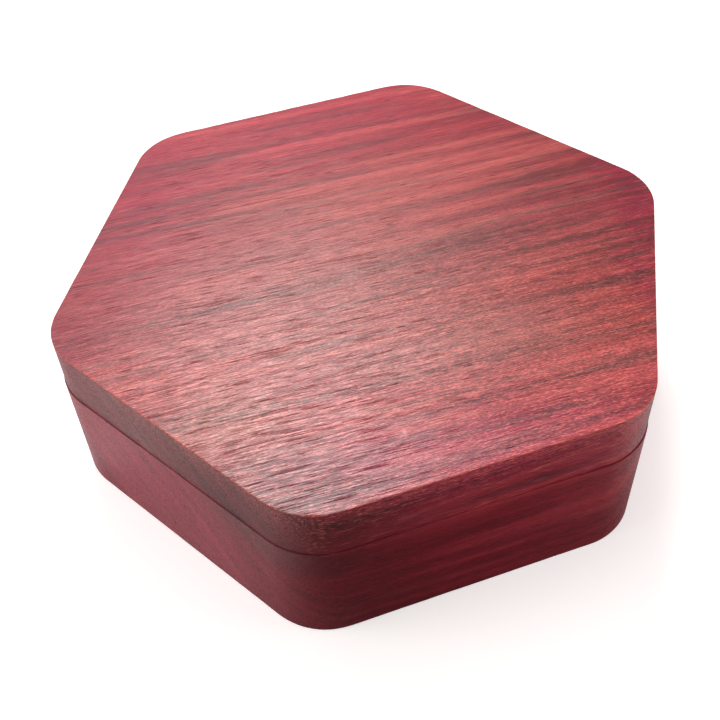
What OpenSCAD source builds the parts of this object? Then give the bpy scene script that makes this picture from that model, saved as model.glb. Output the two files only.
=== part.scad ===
// Hexagonal wooden dice box with a hinged lid.
// The origin is the centre of the underside. X runs along the front and the grain,
// -Y is the front, +Y is the hinge side, and Z is up.

/* [Box] */
// Width of the base across two opposite flat sides
across_flats = 95; // [93:0.5:110]
// Radius of the six upright corners
corner_radius = 11.6; // [10:0.2:13]
// Height of the base, underside to parting line
base_height = 21; // [19:0.5:30]
// Height of the lid, parting line to top
lid_height = 9.5; // [9:0.5:14]
// How far the lid's sides stand back from the base's sides
lid_reveal = 0.2; // [0.1:0.05:0.4]

/* [Dice pockets] */
// Width of a pocket across two opposite flat sides
pocket_width = 26; // [24:0.25:27]
// Radius of a pocket's upright corners
pocket_corner = 3; // [2:0.25:5]
// Wood between two pockets
pocket_web = 3; // [2.5:0.25:3.5]
// Wood left under the pockets
floor_thickness = 4; // [3:0.5:6]
// Thickness of the felt in a pocket
felt_thickness = 1; // [0.8:0.1:2]
// Gap between a felt and its pocket's wall
felt_gap = 0.2; // [0.1:0.05:0.5]

/* [Lid recess] */
// Wood left above the recess
lid_top_thickness = 3.5; // [3:0.25:5]
// Thickness of the lid's wall at its flat sides
lid_wall = 8; // [7.5:0.25:9]
// Radius of the recess's upright corners
recess_corner = 10; // [8:0.5:12]
// Thickness of the lining
lining_thickness = 1.5; // [1:0.25:2.5]
// Gap between the lining and the recess's wall
lining_gap = 0.3; // [0.1:0.05:0.6]

/* [Magnets] */
// Diameter of a magnet
magnet_diameter = 5; // [4:0.5:5.5]
// Thickness of a magnet
magnet_thickness = 2; // [1.5:0.5:3]
// Wood between a magnet and the rounded corner of the base
magnet_cover = 2.5; // [2.25:0.25:3]
// How far a magnet's face lies behind the parting line
magnet_depth = 0.2; // [0.1:0.05:0.4]
// Gap round a magnet in its hole
magnet_gap = 0.05; // [0.02:0.01:0.1]

/* [Hinges] */
// Distance between the middles of the two hinges
hinge_spacing = 26; // [22:0.5:26]
// Length of a hinge along its pin
hinge_length = 14; // [12:0.5:16]
// Reach of a leaf from the pin's axis
leaf_reach = 6.2; // [6:0.1:6.5]
// Thickness of a leaf
leaf_thickness = 0.8; // [0.7:0.05:1]
// Gap between the two leaves with the lid shut
leaf_gap = 0.2; // [0.1:0.05:0.3]
// Outer diameter of the knuckles
barrel_diameter = 3.2; // [3:0.1:3.6]
// Number of knuckles, an odd number
knuckle_count = 5; // [3:2:7]
// Gap between two knuckles
knuckle_gap = 0.1; // [0.05:0.05:0.2]
// Diameter of the pin
pin_diameter = 1.4; // [1.2:0.1:1.6]
// Gap between the pin and the knuckles' bore, all round
pin_clearance = 0.03; // [0.02:0.01:0.05]
// Diameter of the pin's heads
pin_head_diameter = 2.4; // [2:0.1:2.8]
// Thickness of the pin's heads
pin_head_thickness = 0.3; // [0.2:0.05:0.5]
// Gap between the turning barrel and what it passes
barrel_gap = 0.15; // [0.1:0.05:0.3]
// Gap between a leaf's edges and its mortise
leaf_fit_gap = 0.05; // [0.02:0.01:0.1]

/* [Screws] */
// Distance between a leaf's two screws
screw_spacing = 8.6; // [7:0.2:9]
// Distance of the screws from the pin's axis
screw_inset = 4; // [3.8:0.1:4.2]
// Length of a screw
screw_length = 6; // [5:0.5:7]
// Diameter of a screw's shank
screw_diameter = 1.6; // [1.2:0.1:1.8]
// Diameter of a screw's countersunk head
screw_head_diameter = 3; // [2.6:0.1:3.4]
// Height of a screw's conical head
screw_head_height = 0.7; // [0.5:0.05:0.7]
// Width of the slot in a screw's head
slot_width = 0.4; // [0.3:0.05:0.6]
// Depth of the slot in a screw's head
slot_depth = 0.3; // [0.2:0.05:0.4]
// Gap between a screw and its holes, all round
screw_gap = 0.04; // [0.02:0.01:0.08]

/* [Hidden] */

arc_steps = 96;
small_arc_steps = 48;
// How far a cut runs past the face that it opens
cut = 1;
// How far a corner's arc stays inside its true radius
hair = 0.004;
left = -1;
right = 1;

total_height = base_height + lid_height;
lid_width = across_flats - 2 * lid_reveal;
lid_corner = corner_radius - lid_reveal;
recess_width = lid_width - 2 * lid_wall;
recess_depth = lid_height - lid_top_thickness;
pocket_pitch = pocket_width + pocket_web;
barrel_notch_radius = barrel_diameter / 2 + barrel_gap;
barrel_notch_length = hinge_length + 2 * (pin_head_thickness + barrel_gap);
knuckle_length = (hinge_length - (knuckle_count - 1) * knuckle_gap) / knuckle_count;
knuckle_pitch = knuckle_length + knuckle_gap;
leaf_back = leaf_gap / 2 + leaf_thickness;
// Angles of the front corners from the X axis
front_corner_angle = [240, 300];

wood_base = [0.40, 0.13, 0.17];
wood_lid = [0.66, 0.36, 0.40];
felt_colour = [0.08, 0.08, 0.09];
brass_colour = [0.80, 0.62, 0.30];
magnet_colour = [0.72, 0.73, 0.75];

// Distance from the centre to the middle of a rounded corner's arc. It is also the length
// of the straight run of each side.
function corner_distance(width, corner) = (width - 2 * corner) / sqrt(3);

// Distance from the centre to the outermost point of a rounded corner
function corner_reach(width, corner) = corner_distance(width, corner) + corner;

// A hexagonal block with rounded upright corners and flat sides towards +Y and -Y. Its arcs
// lie a hair inside the true radius, so that they cross their chords and graze no flat side.
module hexagon_block(width, corner, low, high) {
    run = corner_distance(width, corner);
    translate([0, 0, low])
        linear_extrude(high - low) {
            polygon([
                for (turn = [0:60:300], tangent = [turn - 30, turn + 30])
                    [
                        run * cos(turn) + corner * cos(tangent),
                        run * sin(turn) + corner * sin(tangent)
                    ]
            ]);
            for (turn = [0:60:300])
                rotate(turn)
                    translate([run, 0])
                        circle(corner - hair, $fn = arc_steps);
        }
}

// Moves a piece to pocket 0 in the middle, or to one of the six round it
module at_pocket(index) {
    rotate([0, 0, index * 60])
        translate([index == 0 ? 0 : pocket_pitch, 0, 0])
            rotate([0, 0, 30])
                children();
}

module at_magnet(side) {
    angle = side == left ? front_corner_angle[0] : front_corner_angle[1];
    distance = corner_reach(across_flats, corner_radius) - magnet_cover - magnet_diameter / 2;
    rotate([0, 0, angle])
        translate([distance, 0, base_height])
            children();
}

// Moves a piece to a hinge. There, the pin's axis is X and the box lies towards -Y. The axis
// lies in the base's back face and in the parting plane, so that the lid turns half a circle.
module at_hinge(side) {
    translate([side * hinge_spacing / 2, across_flats / 2, base_height])
        children();
}

// Moves a piece to each screw of the lower leaf
module at_screws() {
    for (side = [left, right])
        translate([side * screw_spacing / 2, -screw_inset, -leaf_gap / 2])
            children();
}

// A cylinder about the hinge's own X axis
module axis_rod(diameter, length) {
    rotate([0, 90, 0])
        cylinder(d = diameter, h = length, center = true, $fn = small_arc_steps);
}

// What is cut out of the base's rim for one hinge, with its screws' holes
module hinge_seat() {
    axis_rod(2 * barrel_notch_radius, barrel_notch_length);
    translate([-hinge_length / 2 - leaf_fit_gap, -leaf_reach - leaf_fit_gap, -leaf_back])
        cube([hinge_length + 2 * leaf_fit_gap, leaf_reach + leaf_fit_gap + cut, leaf_back + cut]);
    at_screws()
        screw_hole();
}

// The hole for a screw, with the countersink that its head sits in
module screw_hole() {
    translate([0, 0, -screw_length - screw_gap])
        cylinder(d = screw_diameter + 2 * screw_gap, h = screw_length + cut, $fn = small_arc_steps);
    translate([0, 0, -screw_head_height - screw_gap])
        cylinder(
            d1 = screw_diameter + 2 * screw_gap,
            d2 = screw_head_diameter + 2 * screw_gap,
            h = screw_head_height + screw_gap,
            $fn = small_arc_steps
        );
}

// A slotted screw with a countersunk head, head up, its face in the plane of the origin
module screw() {
    shank = screw_diameter / 2;
    difference() {
        rotate_extrude($fn = small_arc_steps)
            polygon([
                [0, -screw_length],
                [shank, -screw_length + shank],
                [shank, -screw_head_height],
                [screw_head_diameter / 2, 0],
                [0, 0]
            ]);
        translate([-screw_head_diameter, -slot_width / 2, -slot_depth])
            cube([2 * screw_head_diameter, slot_width, slot_depth + cut]);
    }
}

// The place of a knuckle along the pin
function knuckle_place(index) = (index - (knuckle_count - 1) / 2) * knuckle_pitch;

// One leaf with its knuckles. The base's leaf has the even knuckles and the lid's the odd ones.
module leaf(first_knuckle) {
    difference() {
        union() {
            difference() {
                translate([-hinge_length / 2, -leaf_reach, -leaf_back])
                    cube([hinge_length, leaf_reach, leaf_thickness]);
                for (index = [1 - first_knuckle:2:knuckle_count - 1])
                    translate([knuckle_place(index), 0, 0])
                        axis_rod(2 * barrel_notch_radius, knuckle_length + 2 * knuckle_gap);
            }
            for (index = [first_knuckle:2:knuckle_count - 1])
                translate([knuckle_place(index), 0, 0])
                    axis_rod(barrel_diameter, knuckle_length);
        }
        axis_rod(pin_diameter + 2 * pin_clearance, hinge_length + 2 * cut);
        at_screws()
            screw_hole();
    }
}

module base_body() {
    color(wood_base)
        difference() {
            hexagon_block(across_flats, corner_radius, 0, base_height);
            for (index = [0:6])
                at_pocket(index)
                    hexagon_block(pocket_width, pocket_corner, floor_thickness, base_height + cut);
            for (side = [left, right])
                at_magnet(side)
                    magnet_hole();
            for (side = [left, right])
                at_hinge(side)
                    hinge_seat();
        }
}

module lid_body() {
    color(wood_lid)
        difference() {
            hexagon_block(lid_width, lid_corner, base_height, total_height);
            hexagon_block(recess_width, recess_corner, base_height - cut, base_height + recess_depth);
            for (side = [left, right])
                at_magnet(side)
                    mirror([0, 0, 1])
                        magnet_hole();
            for (side = [left, right])
                at_hinge(side)
                    mirror([0, 0, 1])
                        hinge_seat();
        }
}

module pocket_felt(index) {
    color(felt_colour)
        at_pocket(index)
            hexagon_block(
                pocket_width - 2 * felt_gap,
                pocket_corner - felt_gap,
                floor_thickness,
                floor_thickness + felt_thickness
            );
}

module lid_lining() {
    color(felt_colour)
        hexagon_block(
            recess_width - 2 * lining_gap,
            recess_corner - lining_gap,
            base_height + recess_depth - lining_thickness,
            base_height + recess_depth
        );
}

// The blind hole for a magnet, open at the parting plane
module magnet_hole() {
    translate([0, 0, -magnet_depth - magnet_thickness])
        cylinder(
            d = magnet_diameter + 2 * magnet_gap,
            h = magnet_thickness + magnet_depth + cut,
            $fn = small_arc_steps
        );
}

module magnet() {
    color(magnet_colour)
        translate([0, 0, -magnet_depth - magnet_thickness])
            cylinder(d = magnet_diameter, h = magnet_thickness, $fn = small_arc_steps);
}

module base_magnet(side) {
    at_magnet(side)
        magnet();
}

module lid_magnet(side) {
    at_magnet(side)
        mirror([0, 0, 1])
            magnet();
}

module base_leaf(side) {
    color(brass_colour)
        at_hinge(side)
            leaf(0);
}

module lid_leaf(side) {
    color(brass_colour)
        at_hinge(side)
            mirror([0, 0, 1])
                leaf(1);
}

module hinge_pin(side) {
    color(brass_colour)
        at_hinge(side) {
            axis_rod(pin_diameter, hinge_length + pin_head_thickness);
            for (end = [left, right])
                translate([end * (hinge_length + pin_head_thickness) / 2, 0, 0])
                    axis_rod(pin_head_diameter, pin_head_thickness);
        }
}

module base_screws(side) {
    color(brass_colour)
        at_hinge(side)
            at_screws()
                screw();
}

module lid_screws(side) {
    color(brass_colour)
        at_hinge(side)
            mirror([0, 0, 1])
                at_screws()
                    screw();
}

base_body();
pocket_felt(0);  // pocket_felt_0
pocket_felt(1);  // pocket_felt_1
pocket_felt(2);  // pocket_felt_2
pocket_felt(3);  // pocket_felt_3
pocket_felt(4);  // pocket_felt_4
pocket_felt(5);  // pocket_felt_5
pocket_felt(6);  // pocket_felt_6
base_magnet(left);  // base_magnet_left
base_magnet(right);  // base_magnet_right
lid_body();
lid_lining();
lid_magnet(left);  // lid_magnet_left
lid_magnet(right);  // lid_magnet_right
base_leaf(left);  // hinge_left_base_leaf
lid_leaf(left);  // hinge_left_lid_leaf
hinge_pin(left);  // hinge_left_pin
base_screws(left);  // hinge_left_base_screws
lid_screws(left);  // hinge_left_lid_screws
base_leaf(right);  // hinge_right_base_leaf
lid_leaf(right);  // hinge_right_lid_leaf
hinge_pin(right);  // hinge_right_pin
base_screws(right);  // hinge_right_base_screws
lid_screws(right);  // hinge_right_lid_screws
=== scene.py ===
# %% [markdown]
# A hexagonal dice box, milled from two blocks of purpleheart: a deep base with seven
# pockets and a shallow lid, joined at the back by two small brass butt hinges. The packed
# model gives every size and place. This script dresses it: it softens edges, gives each
# wood block its figure, lays felt in the pockets, and lights the box as on a white table.

# %% Load the fixed frame
import math

import bmesh
import bpy
from mathutils import Matrix, Vector, noise


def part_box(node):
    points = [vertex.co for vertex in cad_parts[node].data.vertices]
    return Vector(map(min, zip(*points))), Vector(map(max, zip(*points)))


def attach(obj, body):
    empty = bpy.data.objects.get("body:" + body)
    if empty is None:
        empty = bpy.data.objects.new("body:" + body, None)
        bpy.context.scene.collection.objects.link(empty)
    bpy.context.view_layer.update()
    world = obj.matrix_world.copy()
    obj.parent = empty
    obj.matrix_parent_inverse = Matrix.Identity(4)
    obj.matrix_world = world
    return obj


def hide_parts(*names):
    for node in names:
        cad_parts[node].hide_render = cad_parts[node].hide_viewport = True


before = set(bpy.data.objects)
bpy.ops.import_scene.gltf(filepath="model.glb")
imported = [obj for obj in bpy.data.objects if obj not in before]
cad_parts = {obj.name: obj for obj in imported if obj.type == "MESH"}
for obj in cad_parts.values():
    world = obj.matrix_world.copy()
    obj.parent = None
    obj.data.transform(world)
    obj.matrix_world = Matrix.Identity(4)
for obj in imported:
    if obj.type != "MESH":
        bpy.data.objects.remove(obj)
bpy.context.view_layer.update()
MM = 0.001

# %% [markdown]
# The camera comes first, because everything is judged through it. It could be placed by
# eye, but straight edges give a camera away: it was fitted to the outline of the box, so
# it is written here as a turn round the box, a height above the horizon and a distance.

# %% Camera
AZIMUTH = math.radians(-17.742)
ELEVATION = math.radians(46.872)
ROLL = math.radians(-2.75)
DISTANCE = 184.94 * MM
AIM_HEIGHT = 14.25 * MM
SLIDE_RIGHT = -1.727 * MM
SLIDE_UP = -6.331 * MM
FOCAL_PIXELS = 1031.4
PICTURE_PIXELS = 720
SENSOR = 36


def camera_axes(azimuth, elevation, roll):
    """The camera's right, up and backward directions."""
    back = Vector((
        math.sin(azimuth) * math.cos(elevation),
        -math.cos(azimuth) * math.cos(elevation),
        math.sin(elevation),
    ))
    level = Vector((math.cos(azimuth), math.sin(azimuth), 0))
    upright = back.cross(level)
    right = math.cos(roll) * level + math.sin(roll) * upright
    up = -math.sin(roll) * level + math.cos(roll) * upright
    return right, up, back


def in_scene(name, data):
    """A new object that holds the data, linked to the scene."""
    made = bpy.data.objects.new(name, data)
    bpy.context.scene.collection.objects.link(made)
    return made


def make_camera():
    right, up, back = camera_axes(AZIMUTH, ELEVATION, ROLL)
    eye = Vector((0, 0, AIM_HEIGHT)) + back * DISTANCE + right * SLIDE_RIGHT + up * SLIDE_UP
    data = bpy.data.cameras.new("camera")
    data.sensor_width = SENSOR
    data.lens = FOCAL_PIXELS / PICTURE_PIXELS * SENSOR
    data.clip_start = 0.01
    camera = in_scene("camera", data)
    camera.matrix_world = Matrix((
        (right.x, up.x, back.x, eye.x),
        (right.y, up.y, back.y, eye.y),
        (right.z, up.z, back.z, eye.z),
        (0, 0, 0, 1),
    ))
    bpy.context.scene.camera = camera
    return camera


camera = make_camera()
print("lens:", round(camera.data.lens, 2), "eye:", [round(x, 4) for x in camera.location])

# %% [markdown]
# Widths and heights are read off the frame, so that every piece fits it. Corner radii are
# given here, because a box round a piece says little about the roundness of its corners.

# %% Sizes from the frame
ROOT3 = math.sqrt(3)
BASE_CORNER = 11.6 * MM
LID_CORNER = 11.4 * MM
LINING_CORNER = 9.7 * MM
FELT_CORNER = 2.8 * MM


def middle_of(node_name):
    low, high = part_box(node_name)
    return (low + high) / 2


def width_of(node_name, axis):
    """Width across the flats of a hexagonal node, whose flats face an axis."""
    low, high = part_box(node_name)
    return high[axis] - low[axis]


BASE_WIDTH = width_of("base_body", 1)
LID_WIDTH = width_of("lid_body", 1)
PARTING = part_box("base_body")[1].z
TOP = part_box("lid_body")[1].z
print("widths in mm:", round(BASE_WIDTH / MM, 2), round(LID_WIDTH / MM, 2))
print("parting line and top in mm:", round(PARTING / MM, 2), round(TOP / MM, 2))

# %% [markdown]
# Most pieces are lofts: a stack of outlines, each with its own size and height, joined by
# faces. One outline function serves the blocks, the pockets, the felts and the lining.
# The straight sides get points too, so that an edge can wander a little along them.

# %% Rounded hexagons
QUARTER = math.pi / 2


def hexagon_outline(width, corner, corner_steps, side_steps):
    """Points round a hexagon with rounded corners, counter-clockwise, flats towards Y."""
    run = (width - 2 * corner) / ROOT3
    points = []
    for turn in range(0, 360, 60):
        centre = Vector((run * math.cos(math.radians(turn)), run * math.sin(math.radians(turn))))
        arc = [
            centre + corner * Vector((math.cos(angle), math.sin(angle)))
            for angle in (
                math.radians(turn - 30 + 60 * step / corner_steps)
                for step in range(corner_steps + 1)
            )
        ]
        points += arc
        heading = math.radians(turn + 120)
        side = Vector((math.cos(heading), math.sin(heading))) * run
        points += [arc[-1] + side * step / side_steps for step in range(1, side_steps)]
    return points


def object_from(work, name):
    """An object in the scene with a bmesh's content. The bmesh is freed."""
    mesh = bpy.data.meshes.new(name)
    work.to_mesh(mesh)
    work.free()
    return in_scene(name, mesh)


def mesh_object(name, build):
    """A new object whose mesh is filled by build(bmesh), merged and facing outwards."""
    work = bmesh.new()
    build(work)
    bmesh.ops.remove_doubles(work, verts=work.verts, dist=1e-7)
    bmesh.ops.recalc_face_normals(work, faces=work.faces)
    return object_from(work, name)


def add_loft(work, rings, centre=Vector((0, 0, 0))):
    """Joins rings of points with faces and closes both ends."""
    rows = [[work.verts.new(Vector(point) + centre) for point in ring] for ring in rings]
    count = len(rows[0])
    for lower, upper in zip(rows, rows[1:]):
        for i in range(count):
            after = (i + 1) % count
            work.faces.new((lower[i], lower[after], upper[after], upper[i]))
    work.faces.new(list(reversed(rows[0])))
    work.faces.new(rows[-1])


def rim_steps(radius, count):
    """Inset and drop of the steps round a quarter circle, from the side to the top."""
    for step in range(count + 1):
        angle = QUARTER * step / count
        yield radius * (1 - math.cos(angle)), radius * (1 - math.sin(angle))


print("outline points:", len(hexagon_outline(BASE_WIDTH, BASE_CORNER, 12, 24)))

# %% [markdown]
# A block is milled and then rubbed down by hand, so each edge ends in a small rounded
# arris that is never quite even. A bevel modifier would make every edge the same. Here
# the arris is part of the loft, and a smooth noise varies its radius along the edge.

# %% Wooden blocks
CORNER_STEPS = 14
SIDE_STEPS = 34
RIM_STEPS = 4
OUTER_ARRIS = 0.16 * MM
PARTING_ARRIS = 0.09 * MM
UNEVEN = 0.6
UNEVEN_LENGTH = 2.6 * MM
TOP_SEED_STEP = 7


def arris_radius(point, radius, seed):
    """The radius of an arris at a point, varied along the edge."""
    place = Vector((point.x, point.y, 0)) / UNEVEN_LENGTH + Vector((0, 0, seed))
    return radius * (1 + UNEVEN * noise.noise(place))


def block_rings(width, corner, low, high, low_arris, high_arris, seed):
    """The rings of a hexagonal block from its underside to its top."""
    outline = hexagon_outline(width, corner, CORNER_STEPS, SIDE_STEPS)
    towards = [Vector((-point.x, -point.y)).normalized() for point in outline]
    low_radius = [arris_radius(point, low_arris, seed) for point in outline]
    high_radius = [arris_radius(point, high_arris, seed + TOP_SEED_STEP) for point in outline]

    def ring(step, level, radii, upward):
        inset, drop = step
        return [
            (*(point + inward * inset * radius), level - upward * drop * radius)
            for point, inward, radius in zip(outline, towards, radii)
        ]

    steps = list(rim_steps(1, RIM_STEPS))
    lower = [ring(step, low, low_radius, -1) for step in reversed(steps)]
    return lower + [ring(step, high, high_radius, 1) for step in steps]


def wooden_block(name, width, corner, low, high, low_arris, high_arris, seed):
    rings = block_rings(width, corner, low, high, low_arris, high_arris, seed)
    return mesh_object(name, lambda work: add_loft(work, rings))


base_blank = wooden_block(
    "base_blank", BASE_WIDTH, BASE_CORNER, 0, PARTING, OUTER_ARRIS, PARTING_ARRIS, 1
)
lid_blank = wooden_block(
    "lid_blank", LID_WIDTH, LID_CORNER, PARTING, TOP, PARTING_ARRIS, OUTER_ARRIS, 2
)
print("blank faces:", len(base_blank.data.polygons), len(lid_blank.data.polygons))

# %% [markdown]
# The pockets and the screws are one solid each, repeated in a set layout. Geometry Nodes
# suit that: a tree takes one piece and stands a copy on each of its points. The helpers
# here build such trees, run them on a piece, and bake the result into a plain mesh.

# %% Geometry Nodes helpers
def geometry_tree(name, sizes):
    """A new tree with a geometry input and output, a material, and named size inputs."""
    tree = bpy.data.node_groups.new(name, "GeometryNodeTree")
    face = tree.interface
    face.new_socket("Geometry", in_out="INPUT", socket_type="NodeSocketGeometry")
    for size in sizes:
        face.new_socket(size, in_out="INPUT", socket_type="NodeSocketFloat")
    face.new_socket("Material", in_out="INPUT", socket_type="NodeSocketMaterial")
    face.new_socket("Geometry", in_out="OUTPUT", socket_type="NodeSocketGeometry")
    return tree, tree.nodes.new("NodeGroupInput"), tree.nodes.new("NodeGroupOutput")


def node(tree, kind, inputs=None, **settings):
    """Adds a node. An input is set by its name or number, to a value or to a socket."""
    made = tree.nodes.new(kind)
    for name, value in settings.items():
        setattr(made, name, value)
    for name, value in (inputs or {}).items():
        socket = made.inputs[name]
        if isinstance(value, bpy.types.NodeSocket):
            tree.links.new(value, socket)
        else:
            socket.default_value = value
    return made


def maths(tree, operation, first, second=0.0, third=0.0):
    """One Math node, returned as its output socket. It serves geometry and shader trees."""
    return node(
        tree, "ShaderNodeMath", {0: first, 1: second, 2: third}, operation=operation
    ).outputs[0]


def xyz(tree, x=0.0, y=0.0, z=0.0):
    """A vector from three values or sockets."""
    return node(tree, "ShaderNodeCombineXYZ", {"X": x, "Y": y, "Z": z}).outputs["Vector"]


def finish_tree(tree, geometry, entry, leave):
    """Ends a tree in Realize Instances and Set Material."""
    real = node(tree, "GeometryNodeRealizeInstances", {"Geometry": geometry})
    painted = node(tree, "GeometryNodeSetMaterial", {
        "Geometry": real.outputs["Geometry"],
        "Material": entry.outputs["Material"],
    })
    tree.links.new(painted.outputs["Geometry"], leave.inputs["Geometry"])


def baked(made, name):
    """A plain mesh object with the result of an object's modifiers. The object is removed."""
    bpy.context.view_layer.update()
    evaluated = made.evaluated_get(bpy.context.evaluated_depsgraph_get())
    mesh = bpy.data.meshes.new_from_object(evaluated)
    mesh.name = name
    plain = in_scene(name, mesh)
    bpy.data.objects.remove(made)
    return plain


def grown(seed_piece, tree, sizes, material, name):
    """Runs a tree on a piece, with its inputs set by their identifiers, and bakes it."""
    modifier = seed_piece.modifiers.new("tree", "NODES")
    modifier.node_group = tree
    sockets = {
        item.name: item.identifier
        for item in tree.interface.items_tree
        if item.item_type == "SOCKET" and item.in_out == "INPUT"
    }
    for size, value in sizes.items():
        modifier[sockets[size]] = value
    modifier[sockets["Material"]] = material
    return baked(seed_piece, name)


print("Geometry Nodes of Blender", bpy.app.version_string)

# %% [markdown]
# The pockets form a honeycomb of seven: one in the middle and six round it. A loop over
# seven places would do too, but a tree has the pitch as a named input, and all its copies
# are the same.

# %% Honeycomb
def honeycomb_tree():
    tree, entry, leave = geometry_tree("honeycomb of seven", ["Pitch"])
    ring = node(tree, "GeometryNodeMeshCircle", {
        "Vertices": 6,
        "Radius": entry.outputs["Pitch"],
    })
    centre = node(tree, "GeometryNodePoints", {"Count": 1})
    points = node(tree, "GeometryNodeJoinGeometry")
    for source in (centre.outputs["Geometry"], ring.outputs["Mesh"]):
        tree.links.new(source, points.inputs["Geometry"])
    copies = node(tree, "GeometryNodeInstanceOnPoints", {
        "Points": points.outputs["Geometry"],
        "Instance": entry.outputs["Geometry"],
    })
    finish_tree(tree, copies.outputs["Instances"], entry, leave)
    return tree


HONEYCOMB = honeycomb_tree()
PITCH = middle_of("pocket_felt_1").xy.length
print("pitch in mm:", round(PITCH / MM, 2))

# %% [markdown]
# The pockets are routed with an end mill, then their mouths are eased with a small
# rounding bit. A cutter is the solid that the bit sweeps: straight walls that open into a
# quarter circle at the rim. It runs a little past the surface, so that no two faces lie in
# one plane when it is subtracted.

# %% Pocket cutters
PASS = 0.5 * MM
MOUTH_ARRIS = 0.45 * MM
POCKET_STEPS = 8
MOUTH_STEPS = 5
FELT_GAP = 0.2 * MM


def turned_ring(width, corner, height, turn=0, steps=POCKET_STEPS):
    """One hexagonal ring of points at a height, turned about Z."""
    swing = Matrix.Rotation(math.radians(turn), 3, "Z")
    return [
        swing @ Vector((point.x, point.y, height))
        for point in hexagon_outline(width, corner, steps, 1)
    ]


def cutter_rings(width, corner, floor, mouth, upward, turn, arris):
    """The rings of a cutter from its floor to just past the mouth, which has a round edge."""
    rings = [turned_ring(width, corner, floor, turn)]
    for step in range(MOUTH_STEPS):
        angle = QUARTER * step / MOUTH_STEPS
        spread = arris * (1 - math.cos(angle))
        below = arris * (1 - math.sin(angle))
        rings.append(turned_ring(width + 2 * spread, corner + spread, mouth - upward * below, turn))
    past = 2 * arris - spread
    rings.append(turned_ring(width + 2 * past, corner + past, mouth + upward * below, turn))
    return rings


FELT_WIDTH = width_of("pocket_felt_0", 0)
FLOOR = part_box("pocket_felt_0")[0].z
pocket_cutter = mesh_object("pocket_cutter", lambda work: add_loft(work, cutter_rings(
    FELT_WIDTH + 2 * FELT_GAP, FELT_CORNER + FELT_GAP, FLOOR, PARTING, 1, 30, MOUTH_ARRIS
)))
pocket_cutters = grown(pocket_cutter, HONEYCOMB, {"Pitch": PITCH}, None, "pocket_cutters")
print("felt width and pocket floor in mm:", round(FELT_WIDTH / MM, 2), round(FLOOR / MM, 2))
print("cutter faces:", len(pocket_cutters.data.polygons))

# %% [markdown]
# The other cuts are made with two simple solids: a turned one, which is a profile swung
# round an axis as on a lathe, and a square one. Each helper gives back a build function,
# so that several solids can share one mesh and be cut away together.

# %% Turned and square solids
ROUND_STEPS = 48
ALONG_X = Matrix.Rotation(QUARTER, 4, "Y")


def turned(profile, steps=ROUND_STEPS, place=Matrix.Identity(4)):
    """A build function for a lathe-turned solid: (radius, height) points, turned about Z."""
    def build(work):
        rings = []
        for radius, height in profile:
            if radius == 0:
                rings.append([work.verts.new(place @ Vector((0, 0, height)))])
                continue
            rings.append([
                work.verts.new(place @ Vector((
                    radius * math.cos(2 * math.pi * i / steps),
                    radius * math.sin(2 * math.pi * i / steps),
                    height,
                )))
                for i in range(steps)
            ])
        for lower, upper in zip(rings, rings[1:]):
            for i in range(steps):
                after = (i + 1) % steps
                corners = [
                    lower[i % len(lower)], lower[after % len(lower)],
                    upper[after % len(upper)], upper[i % len(upper)],
                ]
                work.faces.new(list(dict.fromkeys(corners)))
    return build


def rod(radius, length, place):
    """A build function for a plain rod, its middle at the place and its axis along local Z."""
    half = length / 2
    return turned([(0, -half), (radius, -half), (radius, half), (0, half)], place=place)


def block(low, high):
    """A build function for a box between two corners."""
    low, high = Vector(low), Vector(high)

    def build(work):
        made = bmesh.ops.create_cube(work, size=1)["verts"]
        for vert in made:
            vert.co = Vector(
                low[k] + (vert.co[k] + 0.5) * (high[k] - low[k]) for k in range(3)
            )
    return build


def several(*builds):
    """A build function that runs others one after another."""
    def build(work):
        for each in builds:
            each(work)
    return build


print("sides of a round hole:", ROUND_STEPS)

# %% [markdown]
# Cutting is a Boolean modifier. Its exact solver is slower than the fast one, but it keeps
# clean edges where a cutter's wall runs close to another. The result is baked at once, so
# that a block stays a plain mesh with nothing live on it.

# %% Subtract
def subtract(target, *builds):
    """Subtracts solids from an object and leaves it as a plain mesh."""
    for build in builds:
        cutter = build if isinstance(build, bpy.types.Object) else mesh_object("cutter", build)
        cut = target.modifiers.new("cut", "BOOLEAN")
        cut.operation = "DIFFERENCE"
        cut.solver = "EXACT"
        cut.object = cutter
        name = target.name
        target.name = name + "_uncut"
        target = baked(target, name)
        bpy.data.objects.remove(cutter)
    return target


print("each cut is baked into:", base_blank.name, "or", lid_blank.name)

# %% [markdown]
# The hinges' pins lie in the back face, half in the base and half in the lid. So each
# block gets half of a round notch, a shallow bed for the leaf, and a blind hole for each
# screw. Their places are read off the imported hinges, with a little room for fitting.

# %% Hinge seats
LEAF_FIT = 0.05 * MM
LEAF_THICKNESS = 0.8 * MM
NOTCH_RADIUS = 1.75 * MM
NOTCH_LENGTH = 14.9 * MM
SCREW_SHANK = 0.8 * MM
SCREW_GAP = 0.04 * MM

HINGE_X = {side: middle_of(f"hinge_{side}_pin").x for side in ("left", "right")}
PIN_Y = middle_of("hinge_left_pin").y
LEAF_LOW, LEAF_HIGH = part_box("hinge_right_base_leaf")
LEAF_LENGTH = LEAF_HIGH.x - LEAF_LOW.x
SCREW_LOW, SCREW_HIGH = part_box("hinge_right_base_screws")
SCREW_HEAD = (SCREW_HIGH.y - SCREW_LOW.y) / 2
SCREW_LENGTH = SCREW_HIGH.z - SCREW_LOW.z
BED_DEPTH = PARTING - SCREW_HIGH.z + LEAF_THICKNESS


def screw_places():
    """Each screw's axis. A pair's box ends at the outer edges of its two heads."""
    y = (SCREW_LOW.y + SCREW_HIGH.y) / 2
    aside = (SCREW_HIGH.x - SCREW_LOW.x) / 2 - SCREW_HEAD
    return [Vector((x + side * aside, y, 0)) for x in HINGE_X.values() for side in (-1, 1)]


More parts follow.
